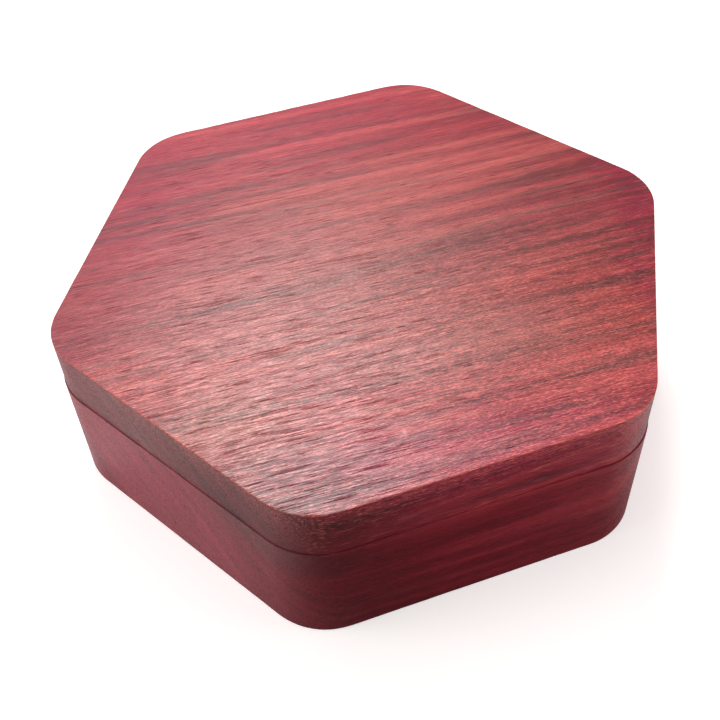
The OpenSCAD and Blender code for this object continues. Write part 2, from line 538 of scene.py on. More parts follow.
def leaf_beds(up):
    """Flat beds for both hinges' leaves. up is 1 in the lid and -1 in the base."""
    half = LEAF_LENGTH / 2 + LEAF_FIT
    near, far = sorted((PARTING + up * BED_DEPTH, PARTING - up * PASS))
    return several(*[
        block((x - half, LEAF_LOW.y - LEAF_FIT, near), (x + half, PIN_Y + PASS, far))
        for x in HINGE_X.values()
    ])


def barrel_notches():
    return several(*[
        rod(NOTCH_RADIUS, NOTCH_LENGTH, Matrix.Translation((x, PIN_Y, PARTING)) @ ALONG_X)
        for x in HINGE_X.values()
    ])


def screw_holes(up):
    """Blind holes under the leaves, as deep as the screws."""
    length = SCREW_LENGTH + SCREW_GAP
    face = PARTING + up * (PARTING - SCREW_HIGH.z)
    return several(*[
        rod(
            SCREW_SHANK + SCREW_GAP, length,
            Matrix.Translation((place.x, place.y, face + up * length / 2)),
        )
        for place in SCREW_PLACES
    ])


SCREW_PLACES = screw_places()
print("screws at:", [[round(x / MM, 2) for x in place] for place in SCREW_PLACES])

# %% [markdown]
# The lid has one wide recess, so that the dice can stand up out of their pockets, and both
# blocks have holes for two magnets. With these the blocks are milled: one cut after
# another, as they would be at the router.

# %% Mill the blocks
LINING_GAP = 0.3 * MM
MAGNET_GAP = 0.05 * MM
LINING_WIDTH = width_of("lid_lining", 1)
RECESS_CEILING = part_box("lid_lining")[1].z


def magnet_holes(up):
    """Blind holes round the magnets, open at the parting plane."""
    which = "lid" if up > 0 else "base"
    holes = []
    for side in ("left", "right"):
        low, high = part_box(f"{which}_magnet_{side}")
        radius = (high.x - low.x) / 2 + MAGNET_GAP
        floor = high.z if up > 0 else low.z
        length = abs(floor - PARTING) + PASS
        centre = (low + high) / 2
        centre.z = floor - up * length / 2
        holes.append(rod(radius, length, Matrix.Translation(centre)))
    return several(*holes)


def hinge_cuts(up):
    return leaf_beds(up), barrel_notches(), screw_holes(up)


recess_rings = cutter_rings(
    LINING_WIDTH + 2 * LINING_GAP, LINING_CORNER + LINING_GAP,
    RECESS_CEILING, PARTING, -1, 0, MOUTH_ARRIS,
)
base_block = subtract(base_blank, pocket_cutters, magnet_holes(-1), *hinge_cuts(-1))
base_block.name = "base_block"
lid_block = subtract(
    lid_blank, lambda work: add_loft(work, recess_rings), magnet_holes(1), *hinge_cuts(1)
)
lid_block.name = "lid_block"
print("base faces:", len(base_block.data.polygons), "lid faces:", len(lid_block.data.polygons))

# %% [markdown]
# Bevelled solids look best when a large flat face keeps its own normal and the small
# rounded faces bend theirs towards it. Weighted normals do that, by giving a big face more
# say at a shared corner than a small one. Edges sharper than a limit stay sharp.

# %% Shading
SHARP = math.radians(35)


def smooth(piece, weighted=True):
    """Smooth shading that keeps sharp edges and flat faces."""
    piece.data.shade_smooth()
    piece.data.set_sharp_from_angle(angle=SHARP)
    if weighted:
        modifier = piece.modifiers.new("weighted normals", "WEIGHTED_NORMAL")
        modifier.keep_sharp = True
    return piece


def place_piece(piece, body, slot, *nodes):
    """Hands a finished piece to its body, in place of the nodes it stands for. slot is not used."""
    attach(piece, body)
    if nodes:
        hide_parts(*nodes)
    return piece


place_piece(smooth(base_block), "base", "base_wood", "base_body")
place_piece(smooth(lid_block), "lid", "lid_wood", "lid_body")
print("placed:", base_block.name, lid_block.name)

# %% [markdown]
# A felt pad lies in each pocket. Wool felt is cut with a knife, so its edge is upright but
# soft, and its face is never quite level. Each pad is a loft of rings that run in from the
# edge, and a smooth noise lifts and lowers its face, different in each pocket.

# %% Felt pads
FELT_EDGE = 0.42 * MM
FELT_SWELL = 0.07 * MM
FELT_WAVE = 7 * MM
FACE_RINGS = 12
FELT_STEPS = 10
FELT_SIDE_STEPS = 8
LEVEL_LIMIT = 0.02 * MM


def pad_rings(width, corner, low, high, edge, upward=1, turn=0, side_steps=FELT_SIDE_STEPS):
    """Rings of a pad: its back, its soft edge, and its face up to the middle."""
    back, face = (low, high) if upward > 0 else (high, low)
    swing = Matrix.Rotation(math.radians(turn), 3, "Z")

    def ring(inset, height, scale=1):
        return [
            swing @ Vector((point.x * scale, point.y * scale, height))
            for point in hexagon_outline(width - 2 * inset, corner - inset, FELT_STEPS, side_steps)
        ]

    rings = [ring(0, back)]
    for inset, drop in rim_steps(edge, RIM_STEPS):
        rings.append(ring(inset, face - upward * drop))
    for step in range(1, FACE_RINGS):
        rings.append(ring(edge, face, 1 - step / FACE_RINGS))
    return rings


def soften_face(mesh, level, upward, swell, wave, seed):
    """Moves the points near a face in or out by a smooth noise, never past the level."""
    for vert in mesh.vertices:
        if abs(vert.co.z - level) < LEVEL_LIMIT:
            place = Vector((vert.co.x, vert.co.y, seed * wave)) / wave
            vert.co.z -= upward * swell * (0.5 + 0.5 * noise.noise(place))


def felt_pad(index):
    node_name = f"pocket_felt_{index}"
    low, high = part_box(node_name)
    middle = (low + high) / 2
    rings = pad_rings(FELT_WIDTH, FELT_CORNER, low.z, high.z, FELT_EDGE, turn=30)
    centre = Vector((middle.x, middle.y, 0))
    pad = mesh_object(f"felt_pad_{index}", lambda work: add_loft(work, rings, centre))
    soften_face(pad.data, high.z, 1, FELT_SWELL, FELT_WAVE, index)
    smooth(pad, weighted=False)
    place_piece(pad, "base", "felt", node_name)
    return pad


felt_pads = [felt_pad(index) for index in range(7)]

# %% [markdown]
# The lid's lining is a thicker pad, felt over thin foam, glued to the ceiling of the
# recess. Foam gives the felt a rounder edge, so this pad has a larger edge radius, and its
# face falls away towards the edge a little all the way from the middle.

# %% Lid pad
LINING_EDGE = 1.0 * MM
LINING_SWELL = 0.12 * MM
LINING_WAVE = 16 * MM


def lid_lining_pad():
    low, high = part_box("lid_lining")
    rings = pad_rings(
        LINING_WIDTH, LINING_CORNER, low.z, high.z, LINING_EDGE, upward=-1, side_steps=24
    )
    pad = mesh_object("lid_pad", lambda work: add_loft(work, rings))
    soften_face(pad.data, low.z, -1, LINING_SWELL, LINING_WAVE, 11)
    smooth(pad, weighted=False)
    place_piece(pad, "lid", "lining", "lid_lining")
    return pad


lid_pad = lid_lining_pad()
print("lid pad faces:", len(lid_pad.data.polygons))

# %% [markdown]
# Four disc magnets hold the lid shut, two in each block. They are turned solids: a short
# profile of radius and height, swung round an axis. The tiny chamfer on a plated magnet
# catches a line of light, so it is in the profile.

# %% Magnets
MAGNET_CHAMFER = 0.15 * MM


def magnet(body, side):
    node_name = f"{body}_magnet_{side}"
    low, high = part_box(node_name)
    radius = (high.x - low.x) / 2
    half = (high.z - low.z) / 2
    inner = radius - MAGNET_CHAMFER
    profile = [
        (0, -half), (inner, -half), (radius, MAGNET_CHAMFER - half),
        (radius, half - MAGNET_CHAMFER), (inner, half), (0, half),
    ]
    disc = mesh_object(
        f"magnet_{body}_{side}", turned(profile, place=Matrix.Translation((low + high) / 2))
    )
    return place_piece(smooth(disc), body, "magnet", node_name)


magnets = [magnet(body, side) for body in ("base", "lid") for side in ("left", "right")]
print("magnets:", [piece.name for piece in magnets])

# %% [markdown]
# The hinge leaves are small brass castings with rolled knuckles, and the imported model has
# their exact shape. Only their edges are too sharp: real ones have been tumbled smooth. A
# copy is merged into one skin, its flat faces are joined, and a bevel rounds its edges.

# %% Hinge leaves
LEAF_ARRIS = 0.07 * MM
MERGE = 0.002 * MM
BEVEL_LIMIT = math.radians(40)
FLAT_LIMIT = math.radians(1)


def merged_copy(node_name, name):
    """A copy of a node with its loose triangles merged and its flat faces joined."""
    work = bmesh.new()
    work.from_mesh(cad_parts[node_name].data)
    bmesh.ops.remove_doubles(work, verts=work.verts, dist=MERGE)
    bmesh.ops.dissolve_limit(
        work, angle_limit=FLAT_LIMIT, verts=work.verts, edges=work.edges
    )
    return object_from(work, name)


def tumbled(node_name, name, body):
    piece = merged_copy(node_name, name)
    bevel = piece.modifiers.new("tumbled edges", "BEVEL")
    bevel.width = LEAF_ARRIS
    bevel.segments = 2
    bevel.limit_method = "ANGLE"
    bevel.angle_limit = BEVEL_LIMIT
    bevel.use_clamp_overlap = True
    return place_piece(smooth(piece), body, "brass", node_name)


hinge_leaves = [
    tumbled(f"hinge_{side}_{body}_leaf", f"hinge_{side}_leaf_{body}", body)
    for side in ("left", "right") for body in ("base", "lid")
]
print("leaf faces:", [len(piece.data.polygons) for piece in hinge_leaves])

# %% [markdown]
# A pin runs through each hinge's knuckles, and its ends are riveted over into low domes.
# It is turned like the magnets, then laid along X.

# %% Hinge pins
DOME_STEPS = 4
PIN_RADIUS = 0.7 * MM
PIN_HEAD = 0.3 * MM
PIN_DOME = 0.2 * MM


def dome_height(step):
    """How far a dome has fallen below its crown at a step of its quarter circle."""
    return PIN_DOME * (1 - math.cos(QUARTER * step / DOME_STEPS))


def hinge_pin(side):
    node_name = f"hinge_{side}_pin"
    low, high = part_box(node_name)
    head = (high.y - low.y) / 2
    half = (high.x - low.x) / 2
    profile = [
        (head * math.sin(QUARTER * step / DOME_STEPS), dome_height(step) - half)
        for step in range(DOME_STEPS + 1)
    ]
    profile += [(PIN_RADIUS, PIN_HEAD - half), (PIN_RADIUS, half - PIN_HEAD)]
    profile += [(radius, -height) for radius, height in reversed(profile[:DOME_STEPS + 1])]
    place = Matrix.Translation((low + high) / 2) @ ALONG_X
    pin = mesh_object(f"hinge_{side}_pin_rivet", turned(profile, place=place))
    return place_piece(smooth(pin), "base", "brass", node_name)


pins = [hinge_pin(side) for side in ("left", "right")]
print("pins:", [piece.name for piece in pins])

# %% [markdown]
# Eight brass screws hold the hinges, slotted and countersunk. Real ones are turned from
# rod and their slots are sawn. This one is made alike: a turned solid, with a block cut
# away. It has no thread, because that never leaves the wood.

# %% One screw
SLOT_WIDTH = 0.4 * MM
SLOT_DEPTH = 0.3 * MM
HEAD_RIM = 0.06 * MM
HEAD_HEIGHT = 0.7 * MM
SCREW_STEPS = 32


def one_screw():
    """A screw with the middle of its face at the origin, pointing down."""
    profile = [
        (0, -SCREW_LENGTH),
        (SCREW_SHANK / 2, -SCREW_LENGTH + SCREW_SHANK / 2),
        (SCREW_SHANK, -SCREW_LENGTH + 2 * SCREW_SHANK),
        (SCREW_SHANK, -HEAD_HEIGHT),
        (SCREW_HEAD, -HEAD_RIM),
        (SCREW_HEAD - HEAD_RIM, 0),
        (0, 0),
    ]
    blank = mesh_object("screw", turned(profile, steps=SCREW_STEPS))
    slot = block(
        (-2 * SCREW_HEAD, -SLOT_WIDTH / 2, -SLOT_DEPTH), (2 * SCREW_HEAD, SLOT_WIDTH / 2, PASS)
    )
    return subtract(blank, slot)


print("screw length and head radius in mm:", round(SCREW_LENGTH / MM, 2), round(SCREW_HEAD / MM, 2))

# %% [markdown]
# The screws all have one shape, so Geometry Nodes stand a copy of it on each point and
# give each its own turn, as screws driven by hand have. The turn comes from a fixed seed.

# %% Screws on points
SCREW_SEED = 5


def mesh_line(tree, spacing):
    """Two points along X, a spacing apart."""
    return node(tree, "GeometryNodeMeshLine", {
        "Count": 2, "Offset": xyz(tree, spacing),
    }, mode="OFFSET").outputs["Mesh"]


def screws_tree():
    tree, entry, leave = geometry_tree("screws on points", ["Spacing", "Hinge spacing", "Inset"])
    sizes = entry.outputs
    rows = node(tree, "GeometryNodeInstanceOnPoints", {
        "Points": mesh_line(tree, sizes["Hinge spacing"]),
        "Instance": mesh_line(tree, sizes["Spacing"]),
    })
    points = node(tree, "GeometryNodeRealizeInstances", {"Geometry": rows.outputs["Instances"]})
    span = maths(tree, "ADD", sizes["Spacing"], sizes["Hinge spacing"])
    moved = node(tree, "GeometryNodeSetPosition", {
        "Geometry": points.outputs["Geometry"],
        "Offset": xyz(tree, maths(tree, "MULTIPLY", span, -0.5), sizes["Inset"]),
    })
    turn = node(tree, "FunctionNodeRandomValue", {
        "Max": math.pi, "Seed": SCREW_SEED,
    }, data_type="FLOAT").outputs[1]
    copies = node(tree, "GeometryNodeInstanceOnPoints", {
        "Points": moved.outputs["Geometry"],
        "Instance": sizes["Geometry"],
        "Rotation": xyz(tree, z=turn),
    })
    finish_tree(tree, copies.outputs["Instances"], entry, leave)
    return tree


def screws(body, up):
    """The four screws of one block, heads towards the parting plane."""
    placed = grown(one_screw(), SCREWS_ON_POINTS, {
        "Spacing": SCREW_PLACES[1].x - SCREW_PLACES[0].x,
        "Hinge spacing": SCREW_PLACES[2].x - SCREW_PLACES[0].x,
        "Inset": SCREW_PLACES[0].y,
    }, None, f"screws_{body}")
    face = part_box(f"hinge_left_{body}_screws")[0 if up > 0 else 1].z
    placed.data.transform(Matrix.Translation((0, 0, face)) @ Matrix.Diagonal((1, 1, -up, 1)))
    if up > 0:
        placed.data.flip_normals()
    return place_piece(
        smooth(placed), body, "brass", f"hinge_left_{body}_screws", f"hinge_right_{body}_screws"
    )


SCREWS_ON_POINTS = screws_tree()
all_screws = [screws("base", -1), screws("lid", 1)]
print("screw faces:", [len(piece.data.polygons) for piece in all_screws])

# %% [markdown]
# Everything from here on is about finish. Materials are node trees, and what they share
# is kept in node groups. A group is built once, has named inputs, and each material then
# uses it with values of its own. The helpers write the most common nodes in a line each.

# %% Shader helpers
SOCKETS = {
    "value": "NodeSocketFloat",
    "vector": "NodeSocketVector",
    "colour": "NodeSocketColor",
}


def shader_group(name, inputs, outputs):
    """A new shader group. Inputs are name: (kind, default) and outputs are name: kind."""
    tree = bpy.data.node_groups.new(name, "ShaderNodeTree")
    for label, (kind, default) in inputs.items():
        socket = tree.interface.new_socket(label, in_out="INPUT", socket_type=SOCKETS[kind])
        if default is not None:
            socket.default_value = default
    for label, kind in outputs.items():
        tree.interface.new_socket(label, in_out="OUTPUT", socket_type=SOCKETS[kind])
    return tree, tree.nodes.new("NodeGroupInput").outputs, tree.nodes.new("NodeGroupOutput").inputs


def use_group(tree, group, inputs):
    """Places a group in a tree and returns its outputs."""
    return node(tree, "ShaderNodeGroup", inputs, node_tree=group).outputs


def vectors(tree, operation, first, second):
    """One Vector Math node on two vectors, returned as its output socket."""
    return node(
        tree, "ShaderNodeVectorMath", {0: first, 1: second}, operation=operation
    ).outputs["Vector"]


def times(tree, vector, factor):
    return node(
        tree, "ShaderNodeVectorMath", {0: vector, "Scale": factor}, operation="SCALE"
    ).outputs["Vector"]


def rotated(tree, vector, angle, axis="Z_AXIS"):
    return node(
        tree, "ShaderNodeVectorRotate", {"Vector": vector, "Angle": angle}, rotation_type=axis
    ).outputs["Vector"]


def between(tree, value, low, high, to_low=0.0, to_high=1.0):
    """A smooth step from to_low at low to to_high at high. low may be the larger one."""
    return node(tree, "ShaderNodeMapRange", {
        "Value": value, "From Min": low, "From Max": high, "To Min": to_low, "To Max": to_high,
    }, interpolation_type="SMOOTHSTEP").outputs["Result"]


def blend_colours(tree, factor, first, second, mode="MIX"):
    """Mixes two colours by a factor and returns the result's socket."""
    return node(
        tree, "ShaderNodeMix", {0: factor, 6: first, 7: second}, data_type="RGBA", blend_type=mode
    ).outputs[2]


def as_grey(tree, value):
    return node(tree, "ShaderNodeCombineColor", {
        label: value for label in ("Red", "Green", "Blue")
    }).outputs["Color"]


print("socket kinds:", sorted(SOCKETS))

# %% [markdown]
# Colours are written as screen values, as a colour picker shows them, and made linear for
# the shader. A material starts as a Principled BSDF with its constants, and one helper
# links what varies over a surface: its colour, its bump and its roughness.

# %% Colours and materials
def tone(red, green, blue):
    """An opaque colour from screen values of 0 to 255, made linear as the shader needs."""
    def linear(value):
        value = value / 255
        return value / 12.92 if value <= 0.04045 else ((value + 0.055) / 1.055) ** 2.4
    return linear(red), linear(green), linear(blue), 1.0


def new_material(name, **constants):
    """A material with a Principled BSDF. Constants are set on the shader's own sockets."""
    material = bpy.data.materials.new(name)
    material.use_nodes = True
    tree = material.node_tree
    shader = tree.nodes["Principled BSDF"]
    for label, value in constants.items():
        shader.inputs[label.replace("_", " ")].default_value = value
    return material, tree, shader


def dress(tree, shader, colour, height, depth, strength=1.0, roughness=None):
    """Links a colour, a bump of a depth in metres and maybe a roughness to the shader."""
    bump = node(tree, "ShaderNodeBump", {
        "Height": height, "Distance": depth, "Strength": strength,
    })
    tree.links.new(colour, shader.inputs["Base Color"])
    tree.links.new(bump.outputs["Normal"], shader.inputs["Normal"])
    if roughness is not None:
        tree.links.new(roughness, shader.inputs["Roughness"])


def paint(pieces, material):
    for piece in pieces:
        piece.data.materials.clear()
        piece.data.materials.append(material)


print("a middle grey as a linear colour:", [round(value, 3) for value in tone(128, 128, 128)])

# %% [markdown]
# Wood is a solid, so its figure is a solid texture: one that is read in three dimensions,
# and so runs through a corner from the top to a side as it does in a real block. First
# the point is moved into the board's own space, whose X follows the grain. Slow noise
# bends the grain, because no tree is quite straight.

# %% Board space
def board_space_group():
    tree, given, result = shader_group("board space", {
        "Vector": ("vector", None),
        "Turn": ("value", 0.0),
        "Bend": ("value", 0.0006),
        "Bend length": ("value", 0.045),
        "Start": ("vector", None),
    }, {"Board": "vector"})
    moved = vectors(tree, "ADD", rotated(tree, given["Vector"], given["Turn"]), given["Start"])
    slow = times(tree, moved, maths(tree, "DIVIDE", 1.0, given["Bend length"]))
    drift = node(tree, "ShaderNodeTexNoise", {
        "Vector": slow, "Scale": 1.0, "Detail": 1.5,
    }).outputs["Color"]
    centred = vectors(tree, "SUBTRACT", drift, (0.5, 0.5, 0.5))
    sideways = vectors(tree, "MULTIPLY", centred, (0, 2, 2))
    bent = times(tree, sideways, given["Bend"])
    tree.links.new(vectors(tree, "ADD", moved, bent), result["Board"])
    return tree


BOARD_SPACE = board_space_group()
print("group:", BOARD_SPACE.name)

# %% [markdown]
# Bands, streaks and fibres are all noise that has been stretched along the grain. They
# differ only in length and width, so they share one group.

# %% Stretched noise
def stretched_noise_group():
    tree, given, result = shader_group("stretched noise", {
        "Board": ("vector", None),
        "Length": ("value", 0.04),
        "Width": ("value", 0.001),
        "Depth": ("value", 0.001),
        "Detail": ("value", 2.0),
        "Seed": ("value", 0.0),
    }, {"Value": "value"})
    size = xyz(tree, given["Length"], given["Width"], given["Depth"])
    scaled = vectors(tree, "DIVIDE", given["Board"], size)
    value = node(tree, "ShaderNodeTexNoise", {
        "Vector": scaled, "W": given["Seed"], "Scale": 1.0, "Detail": given["Detail"],
    }, noise_dimensions="4D").outputs["Fac"]
    tree.links.new(value, result["Value"])
    return tree


STRETCHED_NOISE = stretched_noise_group()


def stretched(tree, place, length, width, detail, seed, depth=None):
    """Stretched noise. It is as deep as it is wide, if no depth is given."""
    return use_group(tree, STRETCHED_NOISE, {
        "Board": place, "Length": length, "Width": width,
        "Depth": width if depth is None else depth, "Detail": detail, "Seed": seed,
    })["Value"]


print("group:", STRETCHED_NOISE.name)

# %% [markdown]
# Purpleheart has open pores: fine tubes that a cut lays bare as short dark scratches on a
# face along the grain, and as dots on end grain. Cells of a Voronoi pattern, stretched
# along the grain, give one tube each, and only some of the cells are used.

# %% Pores
def pores_group():
    tree, given, result = shader_group("pores", {
        "Board": ("vector", None),
        "Length": ("value", 0.005),
        "Width": ("value", 0.0007),
        "Share": ("value", 0.4),
        "Fineness": ("value", 0.3),
    }, {"Mask": "value"})
    size = xyz(tree, given["Length"], given["Width"], given["Width"])
    scaled = vectors(tree, "DIVIDE", given["Board"], size)
    cells = node(tree, "ShaderNodeTexVoronoi", {"Vector": scaled, "Scale": 1.0},
                 voronoi_dimensions="3D", feature="F1")
    chance = node(tree, "ShaderNodeSeparateColor", {"Color": cells.outputs["Color"]})
    chosen = maths(tree, "LESS_THAN", chance.outputs["Red"], given["Share"])
    size_here = maths(
        tree, "MULTIPLY", given["Fineness"],
        maths(tree, "MULTIPLY_ADD", chance.outputs["Green"], 0.7, 0.5),
    )
    inside = node(tree, "ShaderNodeMapRange", {
        "Value": maths(tree, "DIVIDE", cells.outputs["Distance"], size_here),
        "From Min": 1.0, "From Max": 0.45,
    }, interpolation_type="SMOOTHSTEP").outputs["Result"]
    tree.links.new(maths(tree, "MULTIPLY", inside, chosen), result["Mask"])
    return tree


PORES = pores_group()
print("group:", PORES.name)

# %% [markdown]
# Now the figure itself. Growth layers lie aslant in the board, so bands are stretched in
# a space that is tilted about the grain: on the top they run as stripes, and down a side
# they lean. Dark and pale lines, streaks, pores and fibres follow the grain alone, and a
# weak mottle breaks them up, as the cut fibres catch the light in turn. One image could
# hold all this, but layers of stretched noise stay sharp at any size and wrap every side.

# %% Purpleheart figure
# Each noise has a length, a width and a depth in millimetres, a detail and a seed.
ASLANT = {
    "bands": (70, 1.7, 14, 3.0, 1.0),
    "broad": (150, 9, 50, 1.0, 2.0),
    "smoke": (45, 1.9, 8, 3.0, 3.0),
}
ALONG = {
    "mottle": (2.6, 0.8, 0.8, 2.0, 9.0),
    "streaks": (30, 0.42, 0.7, 2.5, 4.0),
    "dark lines": (45, 0.9, 1.5, 2.5, 11.0),
    "lines": (5, 0.19, 0.3, 1.5, 6.0),
    "fibres": (2.6, 0.17, 0.17, 1.5, 5.0),
    "flecks": (0.6, 0.15, 0.15, 1.0, 7.0),
}


def noises(tree, place, table):
    return {
        label: stretched(tree, place, length * MM, width * MM, detail, seed, depth * MM)
        for label, (length, width, depth, detail, seed) in table.items()
    }


def figure_group():
    tree, given, result = shader_group("purpleheart figure", {
        "Board": ("vector", None),
        "Tilt": ("value", 0.7),
    }, {
        "Bands": "value", "Broad": "value", "Smoke": "value", "Streaks": "value",
        "Dark lines": "value", "Lines": "value", "Pale lines": "value", "Pores": "value",
        "Fibres": "value", "Flecks": "value", "Mottle": "value", "Height": "value",
    })
    board = given["Board"]
    noise = noises(tree, rotated(tree, board, given["Tilt"], "X_AXIS"), ASLANT)
    noise.update(noises(tree, board, ALONG))
    found = {
        "Bands": noise["bands"],
        "Broad": noise["broad"],
        "Smoke": between(tree, noise["smoke"], 0.5, 0.68),
        "Mottle": between(tree, noise["mottle"], 0.3, 0.7, -1.0, 1.0),
        "Streaks": between(tree, noise["streaks"], 0.62, 0.72),
        "Dark lines": between(tree, noise["dark lines"], 0.52, 0.61),
        "Lines": between(tree, noise["lines"], 0.55, 0.68),
        "Pale lines": between(tree, noise["lines"], 0.45, 0.32),
        "Fibres": noise["fibres"],
        "Flecks": noise["flecks"],
        "Pores": use_group(tree, PORES, {
            "Board": board, "Length": 5.5 * MM, "Width": 0.55 * MM,
            "Share": 0.34, "Fineness": 0.23,
        })["Mask"],
    }
    ridges = maths(tree, "MULTIPLY_ADD", found["Flecks"], 0.8, maths(
        tree, "MULTIPLY", found["Fibres"], 0.8,
    ))
    sunk = maths(tree, "MULTIPLY_ADD", found["Lines"], 0.3, maths(
        tree, "MULTIPLY", found["Pores"], 0.75,
    ))
    found["Height"] = maths(tree, "SUBTRACT", ridges, sunk)
    for label, value in found.items():
        tree.links.new(value, result[label])
    return tree


FIGURE = figure_group()
print("group:", FIGURE.name)

# %% [markdown]
# Two masks come from the way the surface faces. Where it is neither level nor upright it
# is an arris, which gets a painted highlight along the top and painted shade at the
# parting line. Where it faces along the grain it is end grain, whose browner, greyer tone
# is partly its own colour and partly a painted reflection of the white table. An edge
# mask could be painted by hand, but a mask from the normal finds every edge by itself.

# %% Arris and end grain
def facing_group():
    tree, given, result = shader_group("arris and end grain", {
        "Normal": ("vector", None),
    }, {"Arris": "value", "End grain": "value"})
    parts = node(tree, "ShaderNodeSeparateXYZ", {"Vector": given["Normal"]}).outputs
    level = maths(tree, "ABSOLUTE", parts["Z"])
    rising = between(tree, level, 0.15, 0.5)
    falling = between(tree, level, 0.99, 0.8)
    tree.links.new(maths(tree, "MULTIPLY", rising, falling), result["Arris"])
    along = maths(tree, "ABSOLUTE", parts["X"])
    tree.links.new(between(tree, along, 0.35, 0.86), result["End grain"])
    return tree


FACING = facing_group()
print("group:", FACING.name)

# %% [markdown]
# The heartwood isn't one colour all over. It is redder towards the edges, and a paler,
# dustier tone over the middle of the top is partly painted sheen. One soft round patch of
# colour, with its centre and reach as inputs, serves for each such place.

# %% Soft patches
def patch_group():
    tree, given, result = shader_group("soft patch", {
        "Vector": ("vector", None),
        "Centre": ("vector", None),
        "Reach": ("vector", (0.03, 0.03, 0.03)),
    }, {"Mask": "value"})
    apart = vectors(tree, "SUBTRACT", given["Vector"], given["Centre"])
    scaled = vectors(tree, "DIVIDE", apart, given["Reach"])
    distance = node(tree, "ShaderNodeVectorMath", {0: scaled}, operation="LENGTH").outputs["Value"]
    tree.links.new(between(tree, distance, 1.0, 0.2), result["Mask"])
    return tree


PATCH = patch_group()


def in_metres(place):
    return [value * MM for value in place]


def patch(tree, place, centre, reach):
    """A soft patch with its centre and reach in millimetres."""
    return use_group(tree, PATCH, {
        "Vector": place, "Centre": in_metres(centre), "Reach": in_metres(reach),
    })["Mask"]


print("group:", PATCH.name)

# %% [markdown]
# The wood's colour is built up like thin stains: each layer is a tone that is laid over
# the last one through a mask, at a strength. Each block was cut from its own board, so
# each has tones of its own. They were settled by comparing trial renders with the
# photograph, as a stain is settled on trial pieces.

# %% Tones of the two boards
def layered(tree, colour, *layers):
    """Lays tones over a colour, each by a mask and a strength."""
    for mask, strength, over in layers:
        colour = blend_colours(tree, maths(tree, "MULTIPLY", mask, strength), colour, over)
    return colour


def palette(**screen_values):
    return {label: tone(*values) for label, values in screen_values.items()}


# The lid's arris tone is a painted highlight for the top's edge. In both palettes the end-grain
# tone is partly a painted reflection of the white table, and the lid's dusty tone for the middle is
# partly painted sheen.
LID_TONES = palette(
    deep=(146, 32, 46), middle=(164, 46, 56), light=(180, 76, 74),
    red=(156, 28, 50), smoke=(160, 222, 214), dark=(76, 12, 18),
    pale=(206, 112, 104), end=(98, 54, 58), arris=(214, 98, 62),
    heart=(158, 92, 86), magenta=(140, 0, 46), orange=(162, 56, 42),
    maroon=(100, 22, 32), rose=(188, 38, 68), cerise=(160, 0, 52),
    umber=(88, 26, 28), brown=(118, 28, 38), tan=(186, 112, 88),
    pink=(172, 50, 92), ash=(166, 110, 104), crimson=(158, 26, 58),
    blush=(214, 104, 98),
)
BASE_TONES = palette(
    deep=(132, 20, 36), middle=(150, 30, 46), light=(166, 46, 58),
    red=(142, 14, 40), smoke=(160, 222, 214), dark=(64, 10, 18),
    pale=(180, 62, 74), end=(148, 58, 72), arris=(118, 26, 32),
    maroon=(110, 16, 30), umber=(80, 24, 30), ash=(104, 50, 54),
)
print("tones:", len(LID_TONES), "for the lid and", len(BASE_TONES), "for the base")

# %% [markdown]
# Soft patches say where the tones change: redder towards the edges, a dusty tone over the
# middle that is partly painted sheen, and painted shade round the front-left corner, where
# it turns away from the left light. Each has a centre and a reach in millimetres, a share
# and a tone, and they were settled in the same way. A later one lies over the earlier ones.

# %% Places of the patches
LID_PATCHES = [
    ((-6, 46, 30), (60, 26, 40), 0.6, "rose"),
    ((-40, 30, 30), (28, 28, 40), 0.9, "cerise"),
    ((6, 23, 30), (24, 3, 40), 0.4, "magenta"),
    ((-46, 12, 30), (12, 30, 40), 0.5, "red"),
    ((-54, -2, 34), (12, 12, 10), 0.8, "magenta"),
    ((30, -22, 30), (30, 22, 40), 0.4, "orange"),
    ((12, 16, 34), (46, 15, 10), 0.4, "blush"),
    ((24, -36, 34), (22, 13, 10), 0.35, "blush"),
    ((46, -2, 30), (26, 36, 40), 0.35, "brown"),
    ((54, 4, 30), (12, 24, 40), 0.8, "magenta"),
    ((49, -10, 30), (9, 16, 40), 0.8, "magenta"),
    ((42, -24, 30), (8, 16, 40), 0.7, "magenta"),
    # This dusty tone and the ash below it are partly painted sheen over the middle of the top.
    ((-2, -6, 34), (52, 30, 10), 0.6, "heart"),
    ((8, -25, 34), (30, 12, 10), 0.5, "ash"),
    ((-32, -26, 34), (16, 12, 8), 0.4, "tan"),
    ((-8, -46, 32), (46, 12, 9), 0.4, "pink"),
    ((-20, -41, 34), (20, 12, 9), 0.5, "pink"),
    # Maroon here is painted shade where the front-left corner turns away from the left light.
    ((-20, -46, 20), (22, 20, 16), 0.7, "maroon"),
    ((10, -54, 24), (60, 14, 20), 0.6, "crimson"),
    # Umber and maroon here are painted shade at the same corner.
    ((-36, -36, 26), (26, 26, 11), 0.3, "umber"),
    ((-28, -44, 26), (22, 22, 12), 0.7, "maroon"),
    # Here the end-grain tone, with its painted reflection, covers the lid's lower rim at the left.
    ((-46, -20, 20.8), (22, 36, 0.9), 0.5, "end"),
    ((-52, -6, 20), (9, 14, 5), 0.6, "maroon"),
]
BASE_PATCHES = [
    # Maroon and umber at the front-left corner are painted shade where it turns away from the left
    # light.
    ((-22, -46, 12), (24, 24, 30), 0.75, "maroon"),
    ((-25, -46, 19), (13, 13, 6), 0.55, "umber"),
    # Here the end-grain tone, with its painted reflection, covers the base's rim at the parting
    # line on the left.
    ((-46, -20, 21), (22, 36, 1.2), 0.8, "end"),
    ((-33, -38, 21), (13, 17, 8), 0.75, "ash"),
]
print("patches:", len(LID_PATCHES), "in the lid and", len(BASE_PATCHES), "in the base")

